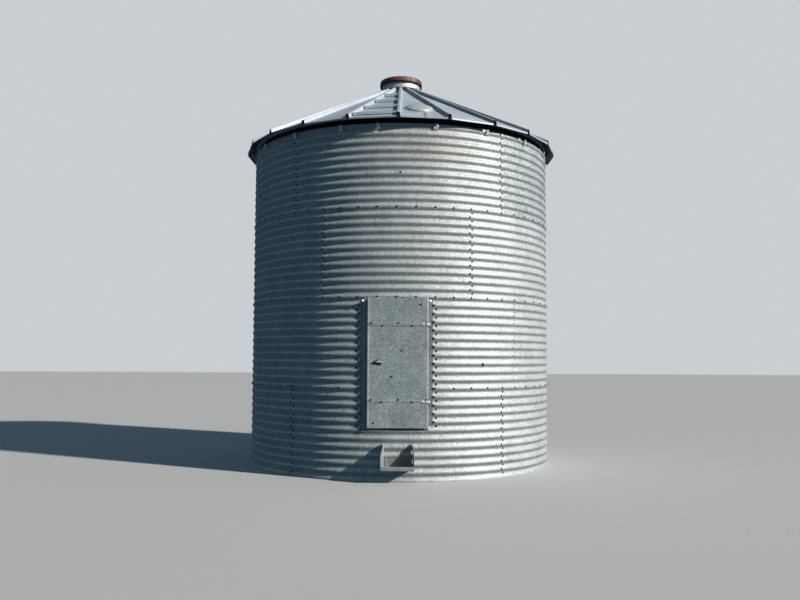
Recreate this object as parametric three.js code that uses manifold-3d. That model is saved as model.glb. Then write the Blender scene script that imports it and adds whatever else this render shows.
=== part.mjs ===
// Corrugated steel grain bin on a flat floor: four wall rings, a ribbed cone roof, a walk-in door
// and an unloading boot. Millimetres, +Z up, origin at the middle of the floor, door towards -Y.
import * as THREE from 'three';
import { mergeVertices } from 'three/addons/utils/BufferGeometryUtils.js';
import Module from 'manifold-3d';

const wasm = await Module();
wasm.setup();

// Driving dimensions of the wall
const BIN_DIAMETER = 4267.2;
const CORRUGATION_PITCH = 101.6;
const CORRUGATION_DEPTH = 12.7;
const CORRUGATIONS_PER_RING = 11;
const RING_COUNT = 4;
const BOLT_SPACES = 56;
const FIRST_BOLT_DEG = -14.03;
const SHEET_SPACES = [12, 12, 12, 12, 8];
const SEAM_BOLT = [-4, -3, 6, -4];

// Driving dimensions of the roof
const ROOF_RIBS = 22;
const FIRST_RIB_DEG = -0.8;
const EAVE_RADIUS = 2262;
const EAVE_Z = 4462;
const PEAK_RADIUS = 330;
const PEAK_Z = 5419;
const ROOF_THICKNESS = 10;
const DRIP_EDGE = 22;
const RIB_BASE = 54;
const RIB_CREST = 36;
const RIB_HEIGHT = 46;
const EAVE_RING = { inset: 4, width: 40, height: 80 };
const COLLAR = { radius: 288, sheet: 12, depth: 90, flangeRadius: 348, flange: 4 };
const PEAK_RING = { overlap: 90, sheet: 8 };
const LID = { radius: 315, foot: 5560, skirt: 50, crown: 66, edge: 14, sheet: 8, plate: 12 };

// Driving dimensions of the door, its frame and its hinges
const LEAF = { left: -395, right: 349, bottom: 648, top: 2232, front: -2139, thickness: 20 };
const DOORWAY = { left: -350, right: 305, bottom: 690, top: 2190 };
const FRAME = { left: -432, right: 388, bottom: 598, top: 2233, back: -2070 };
const FLANGE = { left: -487, right: 404, thickness: 4 };
const DOOR_CLEARANCE = 5;
const HINGE_HEIGHTS = [967, 1911];
const HINGE_AXIS = { x: 361, y: -2132 };
const BARREL_RADIUS = 10;
const BARREL_LENGTH = 60;
const BARREL_SIDES = 12;
const LUG = { half: 4, overlap: 1 };
const STRAP = { length: 90, thickness: 4 };
const HASP = { left: -391, right: -185, middle: 1445, half: 9, thickness: 4 };
const HANDLE = { left: -320, right: -240, bottom: 1411, top: 1441, proud: 26, back: 3 };

// Driving dimensions of the roof fittings, the boot and the floor
const STEP_DISTANCES = [2155, 1725, 1291, 862];
const STEP = { depth: 58, thickness: 4, lip: 20, belowCrest: 2 };
const HOOD = { radius: 192, height: 65, rim: 16, at: 1775, rounds: 6, sides: 24 };
const BOOT = { top: 472, foot: 160, reach: 200, rootReach: 30, nose: 330, lip: 50, sheet: 5, root: 60 };
const LEFT_CHEEK = { x: -183, splay: -0.2 };
const RIGHT_CHEEK = { x: 162, splay: 0.07 };
const GATE = { bottom: 175, top: 320, proud: 18, sideClearance: 4 };
const FLOOR_THICKNESS = 12;

const GAP = 0.3;
const LAP = 1;
const HUGE = 6000;
const ROUND_SIDES = 32;

const RING_HEIGHT = CORRUGATION_PITCH * CORRUGATIONS_PER_RING;
const WALL_TOP = RING_HEIGHT * RING_COUNT;
const WALL_OUTER = BIN_DIAMETER / 2 + CORRUGATION_DEPTH / 2;
const WALL_INNER = BIN_DIAMETER / 2 - CORRUGATION_DEPTH / 2;
const BOLT_DEG = 360 / BOLT_SPACES;
const RIB_DEG = 360 / ROOF_RIBS;
const ROOF_SLOPE = (PEAK_Z - EAVE_Z) / (EAVE_RADIUS - PEAK_RADIUS);
const PANEL_SLOPE = ROOF_SLOPE / Math.cos(THREE.MathUtils.degToRad(RIB_DEG / 2));

const model = new THREE.Group();

// Finishes
function finish(color, roughness, metalness) {
  return new THREE.MeshStandardMaterial({ color, roughness, metalness });
}
const galvanised = () => finish('#a9adab', 0.45, 0.85);
const doorSteel = () => finish('#8f9694', 0.5, 0.8);
const rustyLid = () => finish('#8a4b3c', 0.8, 0.3);
const darkSteel = () => finish('#3b3a38', 0.7, 0.6);

// A closed three.js geometry becomes a solid that can be joined and cut
function solid(geometry) {
  const bare = geometry.index ? geometry.toNonIndexed() : geometry.clone();
  bare.deleteAttribute('normal');
  bare.deleteAttribute('uv');
  const merged = mergeVertices(bare, 1e-3);
  const vertProperties = new Float32Array(merged.getAttribute('position').array);
  const triVerts = new Uint32Array(merged.index.array);
  return new wasm.Manifold(new wasm.Mesh({ numProp: 3, vertProperties, triVerts }));
}

function geometryOf(manifold) {
  const mesh = manifold.getMesh();
  const geometry = new THREE.BufferGeometry();
  geometry.setAttribute('position', new THREE.BufferAttribute(mesh.vertProperties, 3));
  geometry.setIndex(new THREE.BufferAttribute(mesh.triVerts, 1));
  geometry.computeVertexNormals();
  return geometry;
}

function join(...solids) {
  return solids.reduce((whole, piece) => whole.add(piece));
}

function addPiece(name, manifold, material) {
  const mesh = new THREE.Mesh(geometryOf(manifold), material);
  mesh.name = name;
  model.add(mesh);
}

// Box between two corners
function box(x0, x1, y0, y1, z0, z1) {
  const geometry = new THREE.BoxGeometry(x1 - x0, y1 - y0, z1 - z0);
  geometry.translate((x0 + x1) / 2, (y0 + y1) / 2, (z0 + z1) / 2);
  return solid(geometry);
}

// Point on a circle about the Z axis: azimuth 0 faces the door side, +90 faces +X
function around(radius, degrees) {
  const angle = THREE.MathUtils.degToRad(degrees);
  return new THREE.Vector2(radius * Math.sin(angle), -radius * Math.cos(angle));
}

// Outline in plan, carried up from z0 to z1
function prism(points, z0, z1) {
  const outline = new THREE.Shape(points);
  const geometry = new THREE.ExtrudeGeometry(outline, { depth: z1 - z0, bevelEnabled: false });
  geometry.translate(0, 0, z0);
  return solid(geometry);
}

// Profile of [radius, z] pairs turned about the Z axis
function turned(profile, segments) {
  const points = profile.map(([radius, z]) => new THREE.Vector2(radius, z));
  const geometry = new THREE.LatheGeometry([...points, points[0]], segments);
  geometry.rotateX(Math.PI / 2);
  return outward(solid(geometry));
}

// A lathe profile may run either way round, so a solid with negative volume is turned inside out
function outward(manifold) {
  if (manifold.volume() > 0) return manifold;
  const { vertProperties, triVerts } = manifold.getMesh();
  for (let i = 0; i < triVerts.length; i += 3) {
    [triVerts[i], triVerts[i + 1]] = [triVerts[i + 1], triVerts[i]];
  }
  return new wasm.Manifold(new wasm.Mesh({ numProp: 3, vertProperties, triVerts }));
}

// Eight corners, the lower four and then the upper four, both seen anticlockwise from above
function hexahedron(corners) {
  const faces = [0, 2, 1, 0, 3, 2, 4, 5, 6, 4, 6, 7, 0, 1, 5, 0, 5, 4];
  faces.push(1, 2, 6, 1, 6, 5, 2, 3, 7, 2, 7, 6, 3, 0, 7, 0, 4, 7);
  const geometry = new THREE.BufferGeometry();
  geometry.setAttribute('position', new THREE.Float32BufferAttribute(corners.flat(), 3));
  geometry.setIndex(faces);
  return solid(geometry);
}

// Curved wall sheet of one ring, as flat facets from bolt to bolt; the shell is as thick as the
// corrugations are deep
function wallSheet(ring, firstBolt, spaces) {
  const half = THREE.MathUtils.radToDeg(GAP / 2 / WALL_INNER);
  const angles = [];
  for (let i = 0; i <= spaces; i += 1) angles.push(FIRST_BOLT_DEG + (firstBolt + i) * BOLT_DEG);
  angles[0] += half;
  angles[spaces] -= half;
  const outer = angles.map((angle) => around(WALL_OUTER, angle));
  const inner = angles.map((angle) => around(WALL_INNER, angle)).reverse();
  const foot = ring * RING_HEIGHT + (ring > 0 ? GAP / 2 : 0);
  const head = (ring + 1) * RING_HEIGHT - (ring < RING_COUNT - 1 ? GAP / 2 : 0);
  return prism([...outer, ...inner], foot, head);
}

function frontPart(sheet, x0, x1, z0, z1) {
  return sheet.intersect(box(x0, x1, -HUGE, 0, z0, z1));
}

// The two lower front sheets are cut for the door frame and split beside and below it
function addFrontSheets(ring, sheet) {
  const left = FRAME.left - GAP;
  const right = FRAME.right + GAP;
  const foot = FRAME.bottom - GAP;
  addPiece(`wall_ring${ring + 1}_left_of_door`, frontPart(sheet, -HUGE, left, -1, HUGE), galvanised());
  addPiece(`wall_ring${ring + 1}_right_of_door`, frontPart(sheet, right, HUGE, -1, HUGE), galvanised());
  if (ring > 0) return;
  const below = frontPart(sheet, left + GAP, right - GAP, -1, foot);
  addPiece('wall_ring1_below_door', below, galvanised());
}

function addWall() {
  for (let ring = 0; ring < RING_COUNT; ring += 1) {
    let bolt = SEAM_BOLT[ring];
    SHEET_SPACES.forEach((spaces, index) => {
      const sheet = wallSheet(ring, bolt, spaces);
      if (index === 0 && ring < 2) addFrontSheets(ring, sheet);
      else addPiece(`wall_ring${ring + 1}_sheet${index + 1}`, sheet, galvanised());
      bolt += spaces;
    });
  }
}

// Height of the roof's folded surface above a rib line at a given radius
function ribLineZ(radius) {
  return EAVE_Z + (EAVE_RADIUS - radius) * ROOF_SLOPE;
}

// Profile of [radius, z] pairs turned about the Z axis, flat from one rib line to the next
function facetted(profile) {
  return turned(profile, ROOF_RIBS).rotate([0, 0, FIRST_RIB_DEG]);
}

// Layer of the folded cone between two radii, lowered by drop and of a given thickness
function roofLayer(outerRadius, innerRadius, drop, thickness) {
  return facetted([
    [outerRadius, ribLineZ(outerRadius) - drop - thickness],
    [outerRadius, ribLineZ(outerRadius) - drop],
    [innerRadius, ribLineZ(innerRadius) - drop],
    [innerRadius, ribLineZ(innerRadius) - drop - thickness],
  ]);
}

// All the roof's sheet in one, with its drip edge turned down
function roofSheet() {
  const inside = EAVE_RADIUS - ROOF_THICKNESS;
  return facetted([
    [EAVE_RADIUS, EAVE_Z - DRIP_EDGE],
    [EAVE_RADIUS, EAVE_Z],
    [PEAK_RADIUS, PEAK_Z],
    [PEAK_RADIUS, PEAK_Z - ROOF_THICKNESS],
    [inside, ribLineZ(inside) - ROOF_THICKNESS],
    [inside, EAVE_Z - DRIP_EDGE],
  ]);
}

// Standing rib over one rib line, narrower at its crest, with its foot and ends inside the sheet;
// grow widens it
function roofRib(index, grow) {
  const turn = new THREE.Matrix4().makeRotationZ(THREE.MathUtils.degToRad(FIRST_RIB_DEG + index * RIB_DEG));
  const corner = (side, radius, up) => {
    const half = (up > 0 ? RIB_CREST : RIB_BASE) / 2 + grow;
    const p = new THREE.Vector3(side * half, -radius, ribLineZ(radius) + up);
    return p.applyMatrix4(turn).toArray();
  };
  const outer = EAVE_RADIUS - LAP;
  const inner = PEAK_RADIUS + LAP;
  const square = (up) => [[-1, outer], [1, outer], [1, inner], [-1, inner]]
    .map(([side, radius]) => corner(side, radius, up));
  return hexahedron([...square(-ROOF_THICKNESS / 2), ...square(RIB_HEIGHT + grow)]);
}

// Half space to one side of a rib line, with its face beside the rib's foot
function sideOfRib(index, sign, inset) {
  const offset = -RIB_BASE / 2 - inset;
  const slab = sign > 0 ? box(offset, HUGE, -HUGE, HUGE, 0, HUGE) : box(-HUGE, offset, -HUGE, HUGE, 0, HUGE);
  return slab.rotate([0, 0, FIRST_RIB_DEG + index * RIB_DEG]);
}

// Two roof panels with the ribs folded up along their left edges
function roofPair(sheet, first) {
  const whole = join(sheet, roofRib(first, 0), roofRib(first + 1, 0));
  return whole.intersect(sideOfRib(first, 1, LAP)).intersect(sideOfRib(first + 2, -1, LAP + GAP));
}

function addRoof() {
  const sheet = roofSheet();
  for (let pair = 0; pair < ROOF_RIBS / 2; pair += 1) {
    const number = String(pair + 1).padStart(2, '0');
    addPiece(`roof_panels_${number}`, roofPair(sheet, pair * 2), galvanised());
  }
}

// Ring that stands on the wall's top edge and is cut to the slope of the roof that it carries
function addEaveRing() {
  const outside = WALL_OUTER - EAVE_RING.inset;
  const foot = WALL_TOP + GAP;
  const ring = turned([
    [outside - EAVE_RING.width, foot],
    [outside, foot],
    [outside, foot + EAVE_RING.height],
    [outside - EAVE_RING.width, foot + EAVE_RING.height],
  ], BOLT_SPACES);
  const above = EAVE_RING.height * 2;
  const roof = roofLayer(EAVE_RADIUS, PEAK_RADIUS, -above, above + ROOF_THICKNESS + GAP * 2);
  addPiece('eave_ring', ring.subtract(roof), galvanised());
}

// Ring with a rectangular section
function band(inner, outer, z0, z1) {
  return turned([[inner, z0], [outer, z0], [outer, z1], [inner, z1]], ROUND_SIDES);
}

// Filling collar through the peak, with a flange on the crests of the ribs and a ring under the
// panels' upper ends
function addCollar(top) {
  const { radius, sheet, flangeRadius, flange } = COLLAR;
  const crest = PEAK_Z + RIB_HEIGHT + GAP;
  addPiece('roof_collar', band(radius - sheet, radius, PEAK_Z - COLLAR.depth, top), galvanised());
  addPiece('roof_collar_flange', band(radius + GAP, flangeRadius, crest, crest + flange), galvanised());
  const clear = (radius + GAP) / Math.cos(THREE.MathUtils.degToRad(RIB_DEG / 2));
  const ring = roofLayer(PEAK_RADIUS + PEAK_RING.overlap, clear, ROOF_THICKNESS + GAP * 2, PEAK_RING.sheet);
  addPiece('roof_peak_ring', ring, galvanised());
}

// Lid over the collar, with a rim turned down outside it
function addCollarAndLid() {
  const { radius, edge } = LID;
  const shoulder = LID.foot + LID.skirt;
  const underside = shoulder - LID.plate;
  addCollar(underside - GAP);
  addPiece('roof_lid_rim', band(radius - LID.sheet, radius, LID.foot, underside - GAP), rustyLid());
  const lid = turned([
    [0, underside],
    [radius, underside],
    [radius, shoulder],
    [radius - edge, shoulder + edge],
    [0, shoulder + LID.crown],
  ], ROUND_SIDES);
  addPiece('roof_lid', lid, rustyLid());
}

// Middle of a roof panel, and the height of its flat surface at a distance from the bin's axis
function panelMiddle(panel) {
  return FIRST_RIB_DEG + (panel + 0.5) * RIB_DEG;
}

function panelZ(distance) {
  const flat = Math.cos(THREE.MathUtils.degToRad(RIB_DEG / 2));
  return EAVE_Z + (EAVE_RADIUS * flat - distance) * PANEL_SLOPE;
}

// Level step bars across the panel left of the first rib, each with a lip turned down in front and
// its ends fitted to the two ribs
function addRoofSteps() {
  const spread = Math.tan(THREE.MathUtils.degToRad(RIB_DEG / 2));
  STEP_DISTANCES.forEach((distance, index) => {
    const reach = distance * spread;
    const front = -distance;
    const top = panelZ(distance) + RIB_HEIGHT - STEP.belowCrest;
    const tread = box(-reach, reach, front, front + STEP.depth, top - STEP.thickness, top);
    const lip = box(-reach, reach, front, front + STEP.thickness, top - STEP.lip, top);
    const bar = join(tread, lip).rotate([0, 0, panelMiddle(-1)]);
    const fitted = bar.subtract(roofRib(-1, GAP)).subtract(roofRib(0, GAP));
    addPiece(`roof_step_${index + 1}`, fitted, galvanised());
  });
}

// Low dome that is drawn flat and laid on the slope of the panel right of the first rib
function addRoofHood() {
  const { radius, height, rim, at, rounds } = HOOD;
  const profile = [[0, GAP], [radius, GAP], [radius, rim]];
  for (let i = 1; i < rounds; i += 1) {
    const angle = (i / rounds) * (Math.PI / 2);
    profile.push([radius * Math.cos(angle), rim + (height - rim) * Math.sin(angle)]);
  }
  profile.push([0, height]);
  const tilt = THREE.MathUtils.radToDeg(Math.atan(PANEL_SLOPE));
  const dome = turned(profile, HOOD.sides).rotate([tilt, 0, 0]);
  const hood = dome.translate([0, -at, panelZ(at)]).rotate([0, 0, panelMiddle(0)]);
  addPiece('roof_vent_hood', hood, galvanised());
}

// Barrel ends of both hinges and the lugs that hold them on the frame
function frameKnuckles(frontY) {
  const end = BARREL_LENGTH / 4;
  const parts = HINGE_HEIGHTS.flatMap((z) => [-1, 1].map((side) => {
    const middle = z + side * (BARREL_LENGTH / 2 - end / 2);
    const barrel = upright(BARREL_RADIUS, end).translate([HINGE_AXIS.x, HINGE_AXIS.y, middle]);
    const lug = box(
      HINGE_AXIS.x - LUG.half, FRAME.right - LUG.half, HINGE_AXIS.y, frontY + LUG.overlap,
      middle - end / 2, middle + end / 2,
    );
    return barrel.add(lug);
  }));
  return join(...parts);
}

// Thin flanges of the frame that lie on the wall's outside, left and right of the block
function frameFlanges() {
  const { bottom, top } = FRAME;
  const outside = prism(circle(WALL_OUTER + GAP + FLANGE.thickness), bottom, top);
  const sheet = outside.subtract(prism(circle(WALL_OUTER + GAP), bottom - LAP, top + LAP));
  const spans = [[FLANGE.left, FRAME.left + LAP], [FRAME.right - LAP, FLANGE.right]];
  return spans.map(([left, right]) => frontPart(sheet, left, right, bottom, top));
}

function upright(radius, height) {
  const geometry = new THREE.CylinderGeometry(radius, radius, height, BARREL_SIDES);
  geometry.rotateX(Math.PI / 2);
  return solid(geometry);
}

function addDoor() {
  const leafBack = LEAF.front + LEAF.thickness;
  const frameFront = leafBack + DOOR_CLEARANCE;
  const block = box(FRAME.left, FRAME.right, frameFront, FRAME.back, FRAME.bottom, FRAME.top);
  const hole = box(DOORWAY.left, DOORWAY.right, -HUGE, 0, DOORWAY.bottom, DOORWAY.top);
  const frame = join(block.subtract(hole), frameKnuckles(frameFront), ...frameFlanges());
  addPiece('door_frame', frame, galvanised());
  addPiece('door_leaf', box(LEAF.left, LEAF.right, LEAF.front, leafBack, LEAF.bottom, LEAF.top), doorSteel());

  const plateBack = LEAF.front - GAP;
  const middleLength = BARREL_LENGTH / 2 - GAP * 2;
  HINGE_HEIGHTS.forEach((z, index) => {
    const plate = box(
      LEAF.right - STRAP.length, HINGE_AXIS.x, plateBack - STRAP.thickness, plateBack,
      z - middleLength / 2, z + middleLength / 2,
    );
    const barrel = upright(BARREL_RADIUS, middleLength).translate([HINGE_AXIS.x, HINGE_AXIS.y, z]);
    addPiece(['hinge_strap_lower', 'hinge_strap_upper'][index], plate.add(barrel), galvanised());
  });

  const hasp = box(
    HASP.left, HASP.right, plateBack - HASP.thickness, plateBack,
    HASP.middle - HASP.half, HASP.middle + HASP.half,
  );
  const handle = box(
    HANDLE.left, HANDLE.right, plateBack - HANDLE.proud, plateBack - HANDLE.back, HANDLE.bottom, HANDLE.top,
  );
  addPiece('door_latch', join(hasp, handle), darkSteel());
}

// Outline of [distance from the wall, z] pairs on the boot's side, carried outwards by its splay
function bootCheek({ x, splay }) {
  const shape = new THREE.Shape([
    new THREE.Vector2(-BOOT.root, BOOT.foot),
    new THREE.Vector2(BOOT.reach, BOOT.foot),
    new THREE.Vector2(BOOT.reach, BOOT.nose),
    new THREE.Vector2(BOOT.rootReach, BOOT.top),
    new THREE.Vector2(-BOOT.root, BOOT.top),
  ]);
  const geometry = new THREE.ExtrudeGeometry(shape, { depth: BOOT.sheet, bevelEnabled: false });
  geometry.applyMatrix4(new THREE.Matrix4().set(
    splay, 0, 1, x - BOOT.sheet / 2,
    -1, 0, 0, -WALL_OUTER,
    0, 1, 0, 0,
    0, 0, 0, 1,
  ));
  return outward(solid(geometry));
}

// Two cheeks, a bottom sheet and a turned-up lip, all cut round the wall, and the sliding gate
function addBoot() {
  const wallCut = prism(circle(WALL_OUTER + GAP), -1, BOOT.top + 1);
  const front = -WALL_OUTER - BOOT.reach;
  const back = -WALL_OUTER + BOOT.root;
  const left = LEFT_CHEEK.x + LEFT_CHEEK.splay * BOOT.reach;
  const right = RIGHT_CHEEK.x + RIGHT_CHEEK.splay * BOOT.reach;
  const plan = [[left, front], [right, front], [RIGHT_CHEEK.x, back], [LEFT_CHEEK.x, back]];
  const corners = plan.map(([x, y]) => new THREE.Vector2(x, y));
  const bottom = prism(corners, BOOT.foot, BOOT.foot + BOOT.sheet);
  const lip = box(left, right, front, front + BOOT.sheet, BOOT.foot, BOOT.foot + BOOT.lip);
  const boot = join(bootCheek(LEFT_CHEEK), bootCheek(RIGHT_CHEEK), bottom, lip).subtract(wallCut);
  addPiece('boot_frame', boot, galvanised());
  const clear = BOOT.sheet / 2 + GATE.sideClearance;
  const plate = box(
    LEFT_CHEEK.x + clear, RIGHT_CHEEK.x - clear, -WALL_OUTER - GATE.proud, back, GATE.bottom, GATE.top,
  );
  addPiece('boot_gate', plate.subtract(wallCut), galvanised());
}

// Corners from bolt to bolt, so that round pieces stay parallel to the wall's facets
function circle(radius) {
  const points = [];
  for (let i = 0; i < BOLT_SPACES; i += 1) points.push(around(radius, FIRST_BOLT_DEG + i * BOLT_DEG));
  return points;
}

function addFloor() {
  addPiece('bin_floor', prism(circle(WALL_INNER - GAP), 0, FLOOR_THICKNESS), galvanised());
}

addWall();
addRoof();
addEaveRing();
addCollarAndLid();
addRoofSteps();
addRoofHood();
addDoor();
addBoot();
addFloor();

export default model;
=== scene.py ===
"""Corrugated steel grain bin: wall sheets, ribbed roof, door, boot and the studio around them.

Metres, +Z up, origin at the middle of the floor, door towards -Y. An azimuth is in degrees about
the bin's axis: 0 faces the door side and +90 faces +X.
"""

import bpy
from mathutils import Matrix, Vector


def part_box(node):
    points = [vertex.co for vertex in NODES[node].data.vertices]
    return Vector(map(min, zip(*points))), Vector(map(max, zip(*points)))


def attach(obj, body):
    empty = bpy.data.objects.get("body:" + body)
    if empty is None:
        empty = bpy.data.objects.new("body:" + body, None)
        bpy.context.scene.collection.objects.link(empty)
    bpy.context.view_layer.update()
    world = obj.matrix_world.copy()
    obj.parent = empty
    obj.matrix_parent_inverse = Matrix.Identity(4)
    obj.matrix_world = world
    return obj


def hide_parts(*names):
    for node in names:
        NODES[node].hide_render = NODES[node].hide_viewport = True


bl_info = {
    "name": "Corrugated Grain Bin",
    "version": (1, 0, 0),
    "blender": (4, 5, 0),
    "location": "View3D > Sidebar > Grain Bin",
    "description": "Builds the sheets, fittings and finishes of a corrugated steel grain bin",
    "category": "Add Mesh",
}

import math
from functools import partial

import bpy
import numpy as np
from bpy.props import FloatProperty, FloatVectorProperty, PointerProperty
from mathutils import Euler, Matrix, Vector

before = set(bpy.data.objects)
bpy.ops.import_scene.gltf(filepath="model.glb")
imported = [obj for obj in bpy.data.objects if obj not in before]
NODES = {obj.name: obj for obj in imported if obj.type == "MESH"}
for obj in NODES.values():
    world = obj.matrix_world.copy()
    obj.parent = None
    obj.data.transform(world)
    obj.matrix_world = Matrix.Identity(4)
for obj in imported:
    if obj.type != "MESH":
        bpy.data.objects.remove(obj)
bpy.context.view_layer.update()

X, Y, Z = np.eye(3)

# Sizes that the CAD fixes. SEAM_BOLT is the bolt at which each ring's first sheet starts.
PITCH = 0.1016
RINGS = 4
RING_HEIGHT = 11 * PITCH
BOLT_SPACES = 56
BOLT_DEG = 360 / BOLT_SPACES
FIRST_BOLT_DEG = -14.03
SHEET_SPACES = (12, 12, 12, 12, 8)
SEAM_BOLT = (-4, -3, 6, -4)
RIBS = 22
RIB_DEG = 360 / RIBS
FIRST_RIB_DEG = -0.8
HALF_RIB = math.radians(RIB_DEG / 2)
EAVE_R, EAVE_Z = 2.262, 4.462
PEAK_R, PEAK_Z = 0.330, 5.419
ROOF_SLOPE = (PEAK_Z - EAVE_Z) / (EAVE_R - PEAK_R)
STEP_DISTANCES = (2.155, 1.725, 1.291, 0.862)
LEAF_LEFT, LEAF_RIGHT, LEAF_FOOT, LEAF_HEAD, LEAF_FRONT = -0.395, 0.349, 0.648, 2.232, -2.139
HINGE_X, HINGE_Y, HINGE_HEIGHTS = 0.361, -2.132, (0.967, 1.911)
BOOT_ROOT, BOOT_FRONT, BOOT_FOOT = -2.136, -2.338, 0.161

# Sizes that only show here: where the corrugations' crests lie, how steep their flanks are, how
# far the rings lap, how far a seam's two rows of bolts lie beside it, where the sheets are cut
# beside, above and below the door, the wall's top edge under the eave, the bit of sheet at the
# foot of the right jamb, and the azimuths and heights of the bolts that stand alone
CREST_RISE, CREST_R = 0.009, 2.14
STEEPENING = 0.06
LAP_DOWN, LAP_UP = 0.024, 0.020
SEAM_ROW_DEG = math.degrees(0.018 / 2.13)
CUT_LEFT, CUT_RIGHT, CUT_HEAD = -0.484, 0.404, 2.2345
SILL_TOP, WALL_TOP = 0.619, 4.408
JAMB_FOOT_TOP, JAMB_FOOT_DEG = 0.706, 1.6
LONE_BOLTS = [0.0, 29.0, 29.2], [3.786, 1.426, 1.411]

# Folds sharper than this stay sharp in the shading
CREASE = math.radians(35)


# Surfaces from arrays
def polar(azimuth, radius, z):
    """Points at azimuth a, radius r and height z: (r sin a, -r cos a, z)."""
    a = np.radians(azimuth)
    return np.stack(np.broadcast_arrays(radius * np.sin(a), -radius * np.cos(a), z), axis=-1)


def directions(azimuth):
    """Unit vectors away from the bin's axis at an azimuth, and a quarter turn on from there."""
    return polar(azimuth, 1.0, 0.0), polar(azimuth + 90.0, 1.0, 0.0)


def smooth(x):
    """0 below 0, 1 above 1 and 3x^2 - 2x^3 between."""
    x = np.clip(x, 0.0, 1.0)
    return x * x * (3 - 2 * x)


def outward(points, groups):
    """The same faces, turned round if the volume that they enclose, the sum of a.(b x c)/6 over
    their triangles, is negative."""
    centre = points.mean(axis=0)
    volume = 0.0
    for faces in groups:
        a = points[faces[:, 0]] - centre
        for k in range(1, faces.shape[1] - 1):
            b, c = points[faces[:, k]] - centre, points[faces[:, k + 1]] - centre
            volume += np.einsum("ij,ij->", a, np.cross(b, c))
    return points, [faces[:, ::-1] if volume < 0 else faces for faces in groups]


def sheet(grid, thickness):
    """Closed sheet from a grid of points P(u, v): the grid itself, the grid moved back along its
    unit normal n = Pu x Pv by the thickness, and a strip round the rim."""
    rows, columns = grid.shape[:2]
    normal = np.cross(np.gradient(grid, axis=0), np.gradient(grid, axis=1))
    normal /= np.maximum(np.linalg.norm(normal, axis=-1, keepdims=True), 1e-12)
    points = np.concatenate([grid.reshape(-1, 3), (grid - thickness * normal).reshape(-1, 3)])
    count = rows * columns
    index = np.arange(count).reshape(rows, columns)
    front = np.stack([index[:-1, :-1], index[1:, :-1], index[1:, 1:], index[:-1, 1:]], -1)
    front = front.reshape(-1, 4)
    rim = np.concatenate([index[0], index[1:, -1], index[-1, -2::-1], index[-2:0:-1, 0]])
    following = np.roll(rim, -1)
    edge = np.stack([rim, following, following + count, rim + count], -1)
    return outward(points, [np.concatenate([front, front[:, ::-1] + count, edge])])


def loft(sections, closed=False):
    """Closed body from rings of points S(i, j): neighbouring rings are joined by quads, and the
    first and last rings are capped, or joined to each other where the path is closed."""
    count, ring = sections.shape[:2]
    index = np.arange(count * ring).reshape(count, ring)
    here, there = (index, np.roll(index, -1, axis=0)) if closed else (index[:-1], index[1:])
    side = np.stack([here, np.roll(here, -1, axis=1), np.roll(there, -1, axis=1), there], -1)
    groups = [side.reshape(-1, 4)]
    if not closed:
        groups.append(np.stack([index[0][::-1], index[-1]]))
    return outward(sections.reshape(-1, 3), groups)


def lathe(profile, segments, closed=True):
    """Profile of (radius, z) turned about the Z axis: polar(360 k / n, radius, z)."""
    profile = np.asarray(profile, float)
    azimuth = np.arange(segments) * 360.0 / segments
    return loft(polar(azimuth[None, :], profile[:, :1], profile[:, 1:]), closed)


def rounded(corners, radius):
    """Polyline with its inner corners cut by arcs: each corner c becomes the quadratic curve
    (1-t)^2 a + 2t(1-t) c + t^2 b between points a and b beside it."""
    corners = np.asarray(corners, float)
    before = corners[:-2] - corners[1:-1]
    after = corners[2:] - corners[1:-1]
    length_before = np.linalg.norm(before, axis=1, keepdims=True)
    length_after = np.linalg.norm(after, axis=1, keepdims=True)
    reach = np.minimum(radius, np.minimum(length_before, length_after) / 2)
    a = corners[1:-1] + before / length_before * reach
    b = corners[1:-1] + after / length_after * reach
    t = np.linspace(0, 1, 4)[None, :, None]
    arcs = (1 - t) ** 2 * a[:, None] + 2 * t * (1 - t) * corners[1:-1, None] + t ** 2 * b[:, None]
    return np.concatenate([corners[:1], arcs.reshape(-1, corners.shape[1]), corners[-1:]])


def folded(profile, path, across, up, thickness):
    """Bent sheet: a profile of (x, y) pairs carried along a path, path + x across + y up."""
    flat = profile[:, :1] * across + profile[:, 1:] * up
    return sheet(path + flat[:, None], thickness)


def folded_along_x(profile, left, right, steps, thickness):
    """Bent sheet that runs from left to right: a profile of (y, z) pairs carried along X."""
    path = np.linspace(left, right, steps)[:, None] * X
    return folded(profile, path, Y, Z, thickness)


def rectangle(width, height, corner):
    """Outline of a rectangle with corners rounded by quarter circles, anticlockwise."""
    turn = np.linspace(0, math.pi / 2, 4) + np.arange(4)[:, None] * math.pi / 2
    signs = np.array([(1, 1), (-1, 1), (-1, -1), (1, -1)])[:, None]
    middles = signs * [width / 2 - corner, height / 2 - corner]
    return (middles + corner * np.stack([np.cos(turn), np.sin(turn)], -1)).reshape(-1, 2)


def plate(outline, origin, across, up, thickness):
    """Flat plate from an outline of (x, y) pairs, origin + x across + y up, raised along
    across x up, with its edges bevelled by 0.6 mm."""
    bevel = 0.0006
    middle = outline.mean(axis=0)
    reach = np.linalg.norm(outline - middle, axis=1, keepdims=True)
    small = middle + (outline - middle) * (1 - bevel / reach)
    flats = np.stack([small, outline, outline, small])
    heights = np.array([0.0, bevel, thickness - bevel, thickness])[:, None, None]
    return loft(origin + flats[..., :1] * across + flats[..., 1:] * up
                + heights * np.cross(across, up))


def tube(path, radius, sides=12):
    """Round bar along a path: path + r (n cos t + b sin t), n and b square to its direction."""
    along = np.gradient(path, axis=0)
    along /= np.linalg.norm(along, axis=1, keepdims=True)
    n = np.cross(along, np.where(np.abs(along[:, 2:]) < 0.9, Z, X))
    n /= np.linalg.norm(n, axis=1, keepdims=True)
    b = np.cross(along, n)
    t = (np.arange(sides) * 2 * math.pi / sides)[:, None]
    return loft(path[:, None] + radius * (n[:, None] * np.cos(t) + b[:, None] * np.sin(t)))


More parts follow.
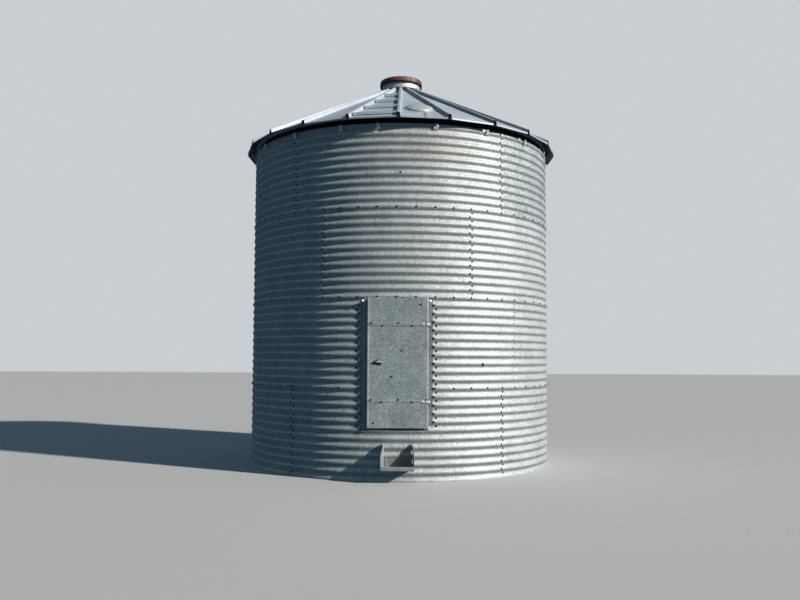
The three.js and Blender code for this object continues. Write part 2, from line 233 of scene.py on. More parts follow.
def repeated(part, origins, across, up, normal):
    """One part set down many times: origin + x across + y up + z normal for its points."""
    points, groups = part
    axes = np.stack([np.broadcast_to(axis, origins.shape) for axis in (across, up, normal)], 1)
    placed = origins[:, None] + points @ axes
    shift = np.arange(len(origins))[:, None, None] * len(points)
    grown = [(faces[None] + shift).reshape(-1, faces.shape[1]) for faces in groups]
    return placed.reshape(-1, 3), grown


def bolt(washer=0.0125, head=0.0088, rise=0.0068):
    """Hexagon-headed bolt on a round washer, pointing along +z: twelve-cornered rings whose radius
    is the washer's, then the hexagon's r = h / cos(t - nearest flat)."""
    t = np.arange(12) * math.pi / 6
    hexagon = head * np.where(np.arange(12) % 2 == 0, 1.0, math.cos(math.pi / 6))
    circle = np.full(12, washer)
    radius = np.stack([circle, circle, circle * 0.86, hexagon, hexagon, hexagon * 0.78])
    z = np.array([-0.003, 0.0012, 0.0022, 0.0023, rise, rise + 0.0012])[:, None]
    return loft(np.stack(np.broadcast_arrays(radius * np.cos(t), radius * np.sin(t), z), -1))


def facing_bolts(spots, front, *size):
    """Bolts that point towards -Y, at (x, z) spots on the plane y = front."""
    seats = np.insert(np.asarray(spots, float), 1, front, axis=1)
    return outward(*repeated(bolt(*size), seats, X, Z, -Y))


def add_object(name, data):
    """A new object in the scene for a mesh, camera or light."""
    made = bpy.data.objects.new(name, data)
    bpy.context.scene.collection.objects.link(made)
    return made


def add_piece(name, parts, finish_name, body, slot, *replaced):
    """One mesh object from (points, face groups) pairs, set beside each other in one mesh."""
    mesh = bpy.data.meshes.new(name)
    flat, lengths, start = [], [], 0
    for points, groups in parts:
        for faces in groups:
            flat.append((faces + start).ravel())
            lengths.append(np.full(len(faces), faces.shape[1]))
        start += len(points)
    points = np.concatenate([points for points, _ in parts])
    flat, lengths = np.concatenate(flat), np.concatenate(lengths)
    mesh.vertices.add(len(points))
    mesh.vertices.foreach_set("co", points.astype(np.float32).ravel())
    mesh.loops.add(len(flat))
    mesh.loops.foreach_set("vertex_index", flat.astype(np.int32))
    mesh.polygons.add(len(lengths))
    mesh.polygons.foreach_set("loop_start", (np.cumsum(lengths) - lengths).astype(np.int32))
    mesh.update(calc_edges=True)
    mesh.validate()
    mesh.shade_smooth()
    mesh.set_sharp_from_angle(angle=CREASE)
    mesh.materials.append(finish(finish_name))
    piece = add_object(name, mesh)
    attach(piece, body)
    if replaced:
        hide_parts(*replaced)


# Materials
def colour(code):
    """Linear RGBA of an sRGB hex value: c/12.92 below 0.04045, else ((c+0.055)/1.055)^2.4."""
    parts = [int(code[i:i + 2], 16) / 255 for i in (1, 3, 5)]
    linear = [c / 12.92 if c <= 0.04045 else ((c + 0.055) / 1.055) ** 2.4 for c in parts]
    return (*linear, 1.0)


def node(tree, kind, links=None, stops=(), **settings):
    """Adds a node. links maps its inputs to nodes, sockets or plain values, where a hex string is a
    colour; stops are a colour ramp's (position, grey or hex) pairs; settings are its own fields."""
    made = tree.nodes.new("ShaderNode" + kind)
    for key, value in settings.items():
        setattr(made, key, value)
    for key, value in (links or {}).items():
        named = [socket for socket in made.inputs if socket.enabled and socket.name == key]
        socket = named[0] if named else made.inputs[key]
        if isinstance(value, bpy.types.Node):
            value = next(output for output in value.outputs if output.enabled)
        if isinstance(value, bpy.types.NodeSocket):
            tree.links.new(value, socket)
        else:
            socket.default_value = colour(value) if isinstance(value, str) else value
    while stops and len(made.color_ramp.elements) < len(stops):
        made.color_ramp.elements.new(0.5)
    for index, (position, value) in enumerate(stops):
        element = made.color_ramp.elements[index]
        element.position = position
        element.color = colour(value) if isinstance(value, str) else (value, value, value, 1.0)
    return made


def empty_material(name):
    """A new material without nodes, and node() for its own tree."""
    material = bpy.data.materials.new(name)
    material.use_nodes = True
    material.node_tree.nodes.clear()
    return material, partial(node, material.node_tree)


def galvanised(add, place, dark, light, spangle, roughness, metallic, streaks, stains=(), film=()):
    """Hot-dip galvanised sheet steel, weathered: grey zinc with faint spangle crystals (about 8 mm,
    drawn at 15 mm so that they show), a dull patina in clouds of 0.3 m, thin rain streaks that run
    down it, and rust-brown stains, each a (centre, half size, strength) ellipsoid broken up by
    noise of 25 mm. The crystals tilt the light a little and the patina roughens it. Painted
    shade is a ramp of how much dark grey is mixed in, over how far a face looks up and a little to
    the right, from 0 facing the other way to 1 facing that way: faces that look down, or to the
    left away from the key light, are painted darker as shade."""
    cells = add("TexVoronoi", {"Vector": place, "Scale": 1 / 0.015}).outputs["Color"]
    crystal = add("SeparateColor", {"Color": cells})
    clouds = add("TexNoise", {"Vector": place, "Scale": 1 / 0.30, "Detail": 5.0, "Roughness": 0.62})
    base = add("ValToRGB", {"Fac": clouds}, ((0.34, dark), (0.66, light)))
    shade = add("ValToRGB", {"Fac": crystal}, ((0.0, 0.32), (1.0, 0.72)))
    base = add("Mix", {"Factor": spangle, "A": base, "B": shade}, data_type="RGBA",
               blend_type="OVERLAY")
    narrow = add("Mapping", {"Vector": place, "Scale": (1 / 0.04, 1 / 0.04, 1 / 0.9)})
    runs = add("TexNoise", {"Vector": narrow, "Scale": 1.0, "Detail": 4.0, "Roughness": 0.6})
    runs = add("ValToRGB", {"Fac": runs}, ((0.50, 0.0), (0.74, streaks)))
    base = add("Mix", {"Factor": runs, "A": base, "B": "#747b7a"}, data_type="RGBA")
    # Painted shade: dark grey #3a4044 mixed into faces that look down and to the left, away from
    # the key light.
    if film:
        normal = add("NewGeometry").outputs["Normal"]
        facing = add("VectorMath", {0: normal, 1: RAIN}, operation="DOT_PRODUCT")
        tilt = add("Math", {0: facing, 1: 0.5, 2: 0.5}, operation="MULTIPLY_ADD")
        share = add("ValToRGB", {"Fac": tilt}, film)
        base = add("Mix", {"Factor": share, "A": base, "B": "#3a4044"}, data_type="RGBA")
    grain = add("TexNoise", {"Vector": place, "Scale": 1 / 0.025, "Detail": 5.0, "Roughness": 0.7})
    for centre, half, strength in stains:
        scale = [0.6 / h for h in half]
        shift = [-c * k for c, k in zip(centre, scale)]
        near = add("Mapping", {"Vector": place, "Location": shift, "Scale": scale})
        reach = add("VectorMath", {0: near}, operation="LENGTH")
        edge = add("Math", {0: grain, 1: 0.6, 2: reach}, operation="MULTIPLY_ADD")
        mask = add("ValToRGB", {"Fac": edge}, ((0.55, strength), (0.92, 0.0)))
        rust = add("ValToRGB", {"Fac": grain}, ((0.35, "#553824"), (0.65, "#9a7a5c")))
        base = add("Mix", {"Factor": mask, "A": base, "B": rust}, data_type="RGBA")
    fine = add("TexNoise", {"Vector": place, "Scale": 1 / 0.018, "Detail": 3.0, "Roughness": 0.6})
    rough = add("Math", {0: fine, 1: 0.16, 2: roughness - 0.08}, operation="MULTIPLY_ADD")
    uneven = add("Math", {0: crystal, 1: 0.35, 2: fine}, operation="MULTIPLY_ADD")
    bump = add("Bump", {"Strength": 0.35, "Distance": 0.0012, "Height": uneven})
    return {"Base Color": base, "Roughness": rough, "Metallic": metallic, "Normal": bump}


def rusty_paint(add, place):
    """Red-brown primer on the filling lid, chalked by the sun: pinkish brown, half gloss where it
    is pale, with darker and rougher rust in clouds of 80 mm and pits of 8 mm that break through."""
    clouds = add("TexNoise", {"Vector": place, "Scale": 1 / 0.08, "Detail": 6.0, "Roughness": 0.65})
    grit = add("TexNoise", {"Vector": place, "Scale": 1 / 0.008, "Detail": 3.0, "Roughness": 0.7})
    base = add("ValToRGB", {"Fac": clouds},
               ((0.32, "#4c2a23"), (0.52, "#7a4a43"), (0.72, "#98675f")))
    pits = add("ValToRGB", {"Fac": grit}, ((0.55, 0.0), (0.8, 0.5)))
    base = add("Mix", {"Factor": pits, "A": base, "B": "#4a2a20"}, data_type="RGBA")
    rough = add("ValToRGB", {"Fac": clouds}, ((0.3, 0.70), (0.7, 0.42)))
    bump = add("Bump", {"Strength": 0.4, "Distance": 0.0015, "Height": grit})
    return {"Base Color": base, "Roughness": rough, "Normal": bump}


def spotted(add, place, spot, metallic, roughness, *stops):
    """Dull dark pieces with a colour that wanders in spots of the given size: black iron that
    rusts in 15 mm spots, near-black bolts, partly dark washers and partly painted shade round
    each head, and the near-black peak ring, which is painted shade under the collar's flange."""
    spots = add("TexNoise", {"Vector": place, "Scale": 1 / spot, "Detail": 4.0, "Roughness": 0.6})
    base = add("ValToRGB", {"Fac": spots}, stops)
    bump = add("Bump", {"Strength": 0.3, "Distance": 0.0008, "Height": spots})
    return {"Base Color": base, "Roughness": roughness, "Metallic": metallic, "Normal": bump}


# Which way a face must look to escape the painted shade, up and a little to the right towards
# the key light, the ramps of painted shade that darken faces looking down and to the left, and
# the stains, each a list of (centre, half size, strength)
RAIN = (0.26, 0.0, 0.96)
WALL_FILM = (0.42, 0.46), (0.58, 0.0)
ROOF_FILM = (0.40, 0.92), (0.54, 0.72), (0.62, 0.30), (0.70, 0.0)
FITTING_FILM = (0.39, 0.92), (0.49, 0.0)
HINGE_RUST = [((HINGE_X + 0.02, -2.11, z), (0.05, 0.06, 0.07), 0.45) for z in HINGE_HEIGHTS]
SILL_DUST = [((0.0, -2.10, 0.61), (0.46, 0.06, 0.05), 0.3)]
BOOT_DUST = [((0.0, -2.16, 0.20), (0.20, 0.08, 0.20), 0.4)]
HOOD_RUN = [((0.300, -2.08, 4.545), (0.026, 0.30, 0.22), 0.8)]
EAVE_RUST = [((side * 2.20, -0.25, 4.42), (0.14, 0.60, 0.055), 0.8) for side in (-1, 1)]
WALL_STAINS = [((0.45, -2.05, 4.12), (0.75, 0.40, 0.26), 0.22),
               ((1.035, -1.866, 1.417), (0.018, 0.04, 0.026), 1.0)]

# The finishes: maker, material's name and the maker's values, which for galvanised are dark,
# light, spangle, roughness, metallic, streaks, stains and painted shade, and for spotted are
# spot, metallic, roughness and the colours
FINISHES = {
    "wall": (galvanised, "weathered galvanised wall sheet", "#b3baba", "#c6cccc",
             0.65, 0.62, 0.34, 0.14, WALL_STAINS, WALL_FILM),
    "dull wall": (galvanised, "duller galvanised wall sheet", "#a0a8ab", "#b6bec0",
                  0.90, 0.62, 0.34, 0.14, (), WALL_FILM),
    # The roof's blue tint is a painted reflection of the sky.
    "roof": (galvanised, "galvanised roof sheet", "#b2bcc8", "#c6d0dc",
             0.14, 0.46, 0.15, 0.10, HOOD_RUN + EAVE_RUST, ROOF_FILM),
    "fittings": (galvanised, "galvanised roof fittings", "#b6bcbf", "#c9cfd2",
                 0.14, 0.46, 0.15, 0.10, (), FITTING_FILM),
    "collar": (galvanised, "dull collar steel", "#c2c8ca", "#dde2e4", 0.20, 0.58, 0.72, 0.60),
    "door": (galvanised, "mottled galvanised door sheet", "#97a1a2", "#b1babb",
             0.72, 0.52, 0.35, 0.20),
    "frame": (galvanised, "galvanised door frame steel", "#808a8d", "#9ca6a8",
              0.18, 0.52, 0.25, 0.30, HINGE_RUST + SILL_DUST),
    "boot": (galvanised, "dusty galvanised boot steel", "#959c9a", "#b6bbb8",
             0.18, 0.52, 0.40, 0.30, BOOT_DUST),
    "bright": (galvanised, "bright galvanised strap", "#bcc3c3", "#d0d6d6",
               0.10, 0.45, 0.30, 0.05),
    "plated": (galvanised, "new zinc plate", "#dde2e2", "#eff2f2", 0.06, 0.42, 0.20, 0.0),
    "floor": (galvanised, "dusty floor sheet", "#6f716c", "#8b8a80", 0.08, 0.60, 0.60, 0.10),
    "lid": (rusty_paint, "rusted red primer"),
    "iron": (spotted, "worn black iron", 0.015, 0.6, 0.6,
             (0.45, "#101214"), (0.66, "#1e1915"), (0.85, "#402617")),
    # Near-black bolts: partly their dark washers, partly painted shade round each head.
    "bolt": (spotted, "weathered bolt zinc", 0.03, 0.2, 0.7,
             (0.35, "#141617"), (0.65, "#272928"), (0.85, "#3c2d22")),
    # The peak ring is near black as painted shade under the collar's flange.
    "tar": (spotted, "old sealing tar", 0.03, 0.0, 0.85, (0.3, "#14161a"), (0.7, "#2b2d2f")),
}


def finish(name):
    """The material of a finish, made at its first use and shared after that: its maker adds the
    nodes and returns what the surface takes from them."""
    maker, title, *values = FINISHES[name]
    material = bpy.data.materials.get(title)
    if not material:
        material, add = empty_material(title)
        place = add("TexCoord").outputs["Object"]
        surface = add("BsdfPrincipled", maker(add, place, *values))
        add("OutputMaterial", {"Surface": surface})
    return material


# Wall
def waver(azimuth, z):
    """Small unevenness of the old wall: a sum of sines of azimuth and height, 1 mm or so each."""
    a = np.radians(azimuth)
    return 0.0011 * (np.sin(7 * a + 1.3 * z + 0.4) * np.sin(2.1 * z + 0.7)
                     + 0.7 * np.sin(17 * a - 2.2 * z) + 0.5 * np.sin(31 * a + 4.7 * z + 1.1))


def wall_radius(azimuth, z):
    """Outside of the wall, R + (D/2)(cos t - k cos 3t) / (1 - k) + waver, t = 2 pi (z - z0) / P:
    a crest at z0 above every whole pitch, its flanks steepened by the third harmonic."""
    sizes = bpy.context.scene.grain_bin_wall
    turn = 2 * math.pi * (z - CREST_RISE) / PITCH
    wave = (np.cos(turn) - STEEPENING * np.cos(3 * turn)) / (1 - STEEPENING)
    return sizes.diameter / 2 + sizes.depth / 2 * wave + waver(azimuth, z)


def azimuth_at(x):
    """Azimuth at which the wall's front lies x to the right of the bin's axis."""
    return np.degrees(np.arcsin(np.asarray(x) / CREST_R))


def seam_azimuth(ring, index):
    """Azimuth of the vertical seam where sheet number index of a ring starts."""
    return FIRST_BOLT_DEG + (SEAM_BOLT[ring] + sum(SHEET_SPACES[:index])) * BOLT_DEG


def wall_piece(ring, z0, z1, start, end, lap_start=0, lap_end=0):
    """Corrugated sheet: polar(a, wall_radius + lap, z). The lap lifts it by 1.6 mm over its
    neighbour at its end and by 1.5 mm over the ring below. Over the door its lower edge is cut:
    z = max(z, CUT_HEAD + 0.1 mm per row) there."""
    sizes = bpy.context.scene.grain_bin_wall
    lap_deg = math.degrees(sizes.lap / sizes.diameter)
    a0, a1 = start - lap_start * lap_deg, end + lap_end * lap_deg
    below = LAP_DOWN if ring > 0 and math.isclose(z0, ring * RING_HEIGHT) else 0.0
    above = LAP_UP if ring < RINGS - 1 and math.isclose(z1, (ring + 1) * RING_HEIGHT) else 0.0
    columns = max(3, int(round((a1 - a0) / BOLT_DEG * 3)) + 1)
    rows = max(3, int(round((z1 - z0 + below + above) / PITCH * 11)) + 1)
    azimuth = np.linspace(a0, a1, columns)
    z = np.linspace(z0 - below, z1 + above, rows)[:, None]
    if ring == 2:
        corners = 360 + azimuth_at([CUT_LEFT - 0.006, CUT_RIGHT + 0.006])
        corners = corners[(corners > a0) & (corners < a1)]
        azimuth = np.sort(np.concatenate([azimuth, corners - 0.01, corners + 0.01]))
        if len(corners):
            over = (azimuth > corners[0]) & (azimuth < corners[1])
            z = np.where(over, np.maximum(z, CUT_HEAD + 1e-4 * np.arange(rows)[:, None]), z)
    lift = lap_end * 0.0016 * smooth((azimuth - (a1 - 2.4 * lap_deg)) / (0.3 * lap_deg))
    if below:
        lift = lift + 0.0015 * smooth((z0 + 0.045 - z) / 0.02)
    grid = polar(azimuth, wall_radius(azimuth, z) + lift, z)
    return sheet(grid.transpose(1, 0, 2), sizes.sheet)


def bolts_on_wall(azimuth, z):
    """Bolts square to the wall's slope: with tan s = dr/dz they point out cos s - up sin s."""
    azimuth, z = np.broadcast_arrays(azimuth, z)
    rise = (wall_radius(azimuth, z + 1e-4) - wall_radius(azimuth, z - 1e-4)) / 2e-4
    slope = np.arctan(rise)[:, None]
    out, across = directions(azimuth)
    normal = out * np.cos(slope) - Z * np.sin(slope)
    seats = polar(azimuth, wall_radius(azimuth, z) + 0.0022, z)
    return repeated(bolt(), seats, across, np.cross(normal, across), normal)


# Roof
def rib_directions(index):
    """Unit vectors along and across a rib line in plan. Half an index more is mid-panel."""
    return directions(FIRST_RIB_DEG + index * RIB_DEG)


def rib_line_z(radius):
    """Height of the rib lines, which run straight from the eave to the peak."""
    return EAVE_Z + (EAVE_R - radius) * ROOF_SLOPE


def rib_sheet(index, radii):
    """Rib over a rib line: a folded profile of (x, h) carried up the slope, with each section bent
    back by |x| tan(half a panel) so that it follows the panels on both sides."""
    sizes = bpy.context.scene.grain_bin_roof
    foot, crest, height = sizes.rib_base / 2, sizes.rib_crest / 2, sizes.rib_height
    profile = rounded([(-foot - 0.012, 0.0014), (-foot - 0.001, 0.0014), (-crest, height),
                       (crest, height), (foot, 0.0)], 0.005)
    along, across = rib_directions(index)
    x, h = profile[:, 0], profile[:, 1]
    radius = radii[:, None] - np.abs(x) * math.tan(HALF_RIB)
    grid = radius[..., None] * along + x[:, None] * across
    grid[..., 2] = rib_line_z(radii)[:, None] + h
    return sheet(grid, sizes.sheet)


def panel_sheet(index, radii):
    """Flat panel between two ribs, A + u (B - A) at each radius with A and B on the rib lines,
    bulging a little between them, and its outer edge turned down as a drip edge."""
    sizes = bpy.context.scene.grain_bin_roof
    left, right = rib_directions(index)[0], rib_directions(index + 1)[0]
    fold = rounded([(0.003, -0.020), (0.0, 0.0), (-0.03, 0.03 * ROOF_SLOPE)], 0.003)
    rows = np.concatenate([EAVE_R + fold[:-1, 0], radii[1:]])
    height = np.concatenate([EAVE_Z + fold[:-1, 1], rib_line_z(radii[1:])])
    chord = 2 * rows * math.sin(HALF_RIB)
    inset = sizes.rib_base / 2 / math.cos(HALF_RIB) / chord
    u = np.linspace(0, 1, 9)[None, :] * (1 - 2 * inset[:, None]) + inset[:, None]
    grid = rows[:, None, None] * ((1 - u)[..., None] * left + u[..., None] * right)
    bulge = 0.0025 * smooth((EAVE_R - rows) / 0.25) * np.sin(5.1 * rows + 2.3 * index)
    grid[..., 2] = height[:, None] + bulge[:, None] * np.sin(math.pi * u)
    return sheet(grid, sizes.sheet)


# Door
def hinge_pin(height, half):
    """Three points on the hinge's axis: below, at and above a height."""
    return np.array([(HINGE_X, HINGE_Y, height + side * half) for side in (-1, 0, 1)])


# Properties
class WallSizes(bpy.types.PropertyGroup):
    diameter: FloatProperty(name="Diameter", description="Wall diameter at mid-corrugation",
                            default=4.2672, unit="LENGTH")
    depth: FloatProperty(name="Corrugation depth", description="Crest to valley",
                         default=0.0127, unit="LENGTH")
    sheet: FloatProperty(name="Sheet", description="Thickness of the wall sheet",
                         default=0.0012, unit="LENGTH")
    lap: FloatProperty(name="Lap", description="Width of a vertical lap",
                       default=0.076, unit="LENGTH")


class RoofSizes(bpy.types.PropertyGroup):
    sheet: FloatProperty(name="Sheet", description="Thickness of the roof sheet",
                         default=0.0011, unit="LENGTH")
    rib_base: FloatProperty(name="Rib base", description="Width of a rib at its foot",
                            default=0.054, unit="LENGTH")
    rib_crest: FloatProperty(name="Rib crest", description="Width of a rib at its crest",
                             default=0.036, unit="LENGTH")
    rib_height: FloatProperty(name="Rib height", description="Height of a rib above the panels",
                              default=0.046, unit="LENGTH")


class StageLights(bpy.types.PropertyGroup):
    sun: FloatProperty(name="Key light", description="Strength of the key light", default=4.48)
    spread: FloatProperty(name="Key spread", description="Angle that the key light fills",
                          default=math.radians(2.0), subtype="ANGLE", unit="ROTATION")
    fill: FloatProperty(name="Surroundings", description="Strength of the soft fill light",
                        default=0.16)
    floor: FloatVectorProperty(name="Floor", description="Colour of the plain floor",
                               subtype="COLOR", size=3, default=(0.60, 0.60, 0.59))


# Operators
class GRAINBIN_OT_wall(bpy.types.Operator):
    """Rolls the corrugated sheets of the four rings, laps them and cuts them at the door"""
    bl_idname = "grain_bin.wall"
    bl_label = "Wall sheets"

    def execute(self, context):
        left, right = azimuth_at([CUT_LEFT, CUT_RIGHT])
        for ring in range(RINGS):
            name = f"wall_ring{ring + 1}"
            z0, z1 = ring * RING_HEIGHT, min((ring + 1) * RING_HEIGHT, WALL_TOP)
            piece = partial(wall_piece, ring, z0, z1)
            sheets = {}
            for index in range(len(SHEET_SPACES)):
                start, end = seam_azimuth(ring, index), seam_azimuth(ring, index + 1)
                if index == 0 and ring < 2:
                    sheets[f"{name}_left_of_door"] = [piece(start, left, 1, 0)]
                    sheets[f"{name}_right_of_door"] = [piece(right, end, 0, 1)]
                else:
                    sheets[f"{name}_sheet{index + 1}"] = [piece(start, end, 1, 1)]
            if ring == 0:
                sheets[f"{name}_below_door"] = [wall_piece(ring, z0, SILL_TOP, left, right)]
                sheets[f"{name}_right_of_door"].append(
                    wall_piece(ring, SILL_TOP, JAMB_FOOT_TOP, right - JAMB_FOOT_DEG, right))
            for sheet_name, parts in sheets.items():
                look = "dull wall" if sheet_name == "wall_ring4_sheet2" else "wall"
                add_piece(f"corrugated_{sheet_name}", parts, look, "bin", "wall_sheet", sheet_name)
        return {"FINISHED"}


class GRAINBIN_OT_wall_bolts(bpy.types.Operator):
    """Sets the bolts of the ring seams, left out in the doorway, and the zigzag rows of the
    vertical seams, which don't stand out on the second ring"""
    bl_idname = "grain_bin.wall_bolts"
    bl_label = "Wall bolts"

    def execute(self, context):
        every = FIRST_BOLT_DEG + np.arange(BOLT_SPACES) * BOLT_DEG
        left, right = azimuth_at([CUT_LEFT, CUT_RIGHT])
        beside_door = every[(every < left) | (every > right)]
        rings = [bolts_on_wall(beside_door if ring == 1 else every, ring * RING_HEIGHT + CREST_RISE)
                 for ring in range(1, RINGS)]
        add_piece("ring_seam_bolts", rings, "bolt", "bin", "wall_sheet")
        dark, plain = [], []
        crests, valleys = np.arange(1, 11), np.arange(11) + 0.5
        shift = np.repeat([-SEAM_ROW_DEG, SEAM_ROW_DEG], [len(crests), len(valleys)])
        rise = CREST_RISE + np.concatenate([crests, valleys]) * PITCH
        for ring in range(RINGS):
            (plain if ring == 1 else dark).extend(
                bolts_on_wall(seam_azimuth(ring, index) + shift, ring * RING_HEIGHT + rise)
                for index in range(len(SHEET_SPACES)))
        dark.append(bolts_on_wall(*LONE_BOLTS))
        add_piece("vertical_seam_bolts", dark, "bolt", "bin", "wall_sheet")
        add_piece("plain_seam_bolts", plain, "wall", "bin", "wall_sheet")
        return {"FINISHED"}


class GRAINBIN_OT_roof(bpy.types.Operator):
    """Folds the roof panels with their hollow ribs and drip edges"""
    bl_idname = "grain_bin.roof"
    bl_label = "Roof panels"

    def execute(self, context):
        radii = np.linspace(EAVE_R, PEAK_R, 16)
        for pair in range(RIBS // 2):
            parts = []
            for index in (pair * 2, pair * 2 + 1):
                parts += [rib_sheet(index, radii), panel_sheet(index, radii)]
            name = f"roof_panels_{pair + 1:02d}"
            add_piece(f"folded_{name}", parts, "roof", "bin", "roof_sheet", name)
        return {"FINISHED"}


class GRAINBIN_OT_eave(bpy.types.Operator):
    """Adds the ring that carries the roof and the brackets between wall and roof"""
    bl_idname = "grain_bin.eave"
    bl_label = "Eave brackets"

    def execute(self, context):
        parts = [lathe([(2.096, 4.482), (2.128, 4.482), (2.130, 4.484), (2.130, 4.520),
                        (2.127, 4.520), (2.127, 4.486), (2.096, 4.485)], 112)]
        strap = rounded([(2.136, 4.330), (2.150, 4.338), (2.167, 4.404)], 0.004)
        half = np.interp(strap[:, 1], [4.335, 4.404], [0.032, 0.014])
        for azimuth in FIRST_BOLT_DEG + np.arange(1, BOLT_SPACES, 3) * BOLT_DEG:
            out, across = directions(azimuth)
            middle = strap[:, :1] * out + strap[:, 1:] * Z
            grid = middle[:, None] + across * (half[:, None] * [-1, 0, 1])[..., None]
            parts.append(sheet(grid, -0.003))
        add_piece("eave_ring_and_brackets", parts, "bright", "bin", "roof_sheet", "eave_ring")
        return {"FINISHED"}


class GRAINBIN_OT_collar(bpy.types.Operator):
    """Turns the filling collar, the ring that holds it in the roof and its rusty lid"""
    bl_idname = "grain_bin.collar"
    bl_label = "Filling collar and lid"

    def execute(self, context):
        foot, flange, bead, top = 5.330, 5.4655, 5.504, 5.596
        collar = lathe([(0.287, foot), (0.288, flange), (0.345, flange), (0.348, flange + 0.002),
                        (0.345, flange + 0.004), (0.291, flange + 0.004), (0.288, flange + 0.008),
                        (0.288, bead - 0.004), (0.290, bead), (0.288, bead + 0.004), (0.288, top),
                        (0.285, top), (0.284, foot)], 96)
        strip = plate(rectangle(0.014, 0.078, 0.002), 0 * X, X, Y, 0.003)
        every = FIRST_RIB_DEG + np.arange(0, RIBS, 2) * RIB_DEG
        out, across = directions(every)
        strips = repeated(strip, polar(every, 0.2875, 5.512), across, Z, out)
        add_piece("filling_collar", [collar, strips], "collar", "bin", "roof_sheet",
                  "roof_collar", "roof_collar_flange")
        gauge = 0.003
        lowest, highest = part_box("roof_peak_ring")
        outer, inner = highest.x, highest.x - 0.095
        ring = lathe([(outer, lowest.z), (inner, highest.z - gauge), (inner, highest.z),
                      (outer, lowest.z + gauge)], 88)
        # Painted shade: the ring under the panels' upper ends is near black, where the collar's
        # flange shades it.
        add_piece("peak_ring", [ring], "tar", "bin", "roof_sheet", "roof_peak_ring")
        crown = [(0.020, 5.6105), (0.300, 5.6105), (0.3115, 5.608), (0.3120, 5.582),
                 (0.3150, 5.582), (0.3150, 5.618), (0.3135, 5.630), (0.3090, 5.639),
                 (0.3000, 5.645), (0.2850, 5.649), (0.2400, 5.656), (0.1600, 5.665),
                 (0.0800, 5.671), (0.0200, 5.6745)]
        add_piece("filling_lid", [lathe(crown, 96, closed=False)], "lid", "bin", "lid_paint",
                  "roof_lid")
        # The rim is drawn near black in the iron finish, all round under the red crown.
        rim = [(0.3105, 5.588), (0.3105, 5.5615), (0.3120, 5.5605), (0.3140, 5.5615),
               (0.3145, 5.581), (0.3118, 5.588)]
        add_piece("lid_rim", [lathe(rim, 96)], "iron", "bin", "lid_paint", "roof_lid_rim")
        return {"FINISHED"}


class GRAINBIN_OT_roof_steps(bpy.types.Operator):
    """Bends the four step bars between the first two ribs"""
    bl_idname = "grain_bin.roof_steps"
    bl_label = "Roof steps"

    def execute(self, context):
        tread, nose, tab_drop, gauge = 0.058, 0.020, 0.036, 0.0025
        out, across = rib_directions(-0.5)
        for number, distance in enumerate(STEP_DISTANCES, 1):
            name = f"roof_step_{number}"
            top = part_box(name)[1].z
            base = out * distance
            reach = distance * math.tan(HALF_RIB) - 0.020
            profile = rounded([(0.0, top - nose), (0.0, top), (-tread, top)], 0.003)
            path = base + np.array([[-reach], [0], [reach]]) * across
            parts = [folded(profile, path, out, Z, gauge)]
            for side in (-1, 1):
                edge = base + side * (reach - 0.001) * across
                centre = edge - out * 0.027 + Z * (top - tab_drop / 2)
                parts.append(plate(rectangle(0.046, tab_drop, 0.006), centre, -out, Z, gauge))
            add_piece(f"bent_{name}", parts, "fittings", "bin", "roof_sheet", name)
        return {"FINISHED"}


class GRAINBIN_OT_vent_hood(bpy.types.Operator):
    """Presses the low dome of the roof vent on the panel right of the steps"""
    bl_idname = "grain_bin.vent_hood"
    bl_label = "Vent hood"

    def execute(self, context):
        distance, lift = 1.775, 0.0006
        slope = math.atan(ROOF_SLOPE / math.cos(HALF_RIB))
        out, across = rib_directions(0.5)
        uphill = Z * math.sin(slope) - out * math.cos(slope)
        normal = np.cross(across, uphill)
        z = EAVE_Z + (EAVE_R * math.cos(HALF_RIB) - distance) * math.tan(slope)
        origin = out * distance + Z * z + normal * lift
        t = np.linspace(0, math.pi / 2, 9)[:-1]
        dome = np.stack([0.186 * np.cos(t), 0.010 + 0.052 * np.sin(t)], -1)
        profile = np.concatenate([[(0.010, 0.0), (0.191, 0.0), (0.192, 0.002), (0.191, 0.004),
                                   (0.187, 0.005)], dome, [(0.010, 0.0625)]])
        points, groups = lathe(profile, 64, closed=False)
        placed = origin + points @ np.stack([across, uphill, normal])
        add_piece("vent_dome", [outward(placed, groups)], "fittings", "bin", "roof_sheet",
                  "roof_vent_hood")
        return {"FINISHED"}


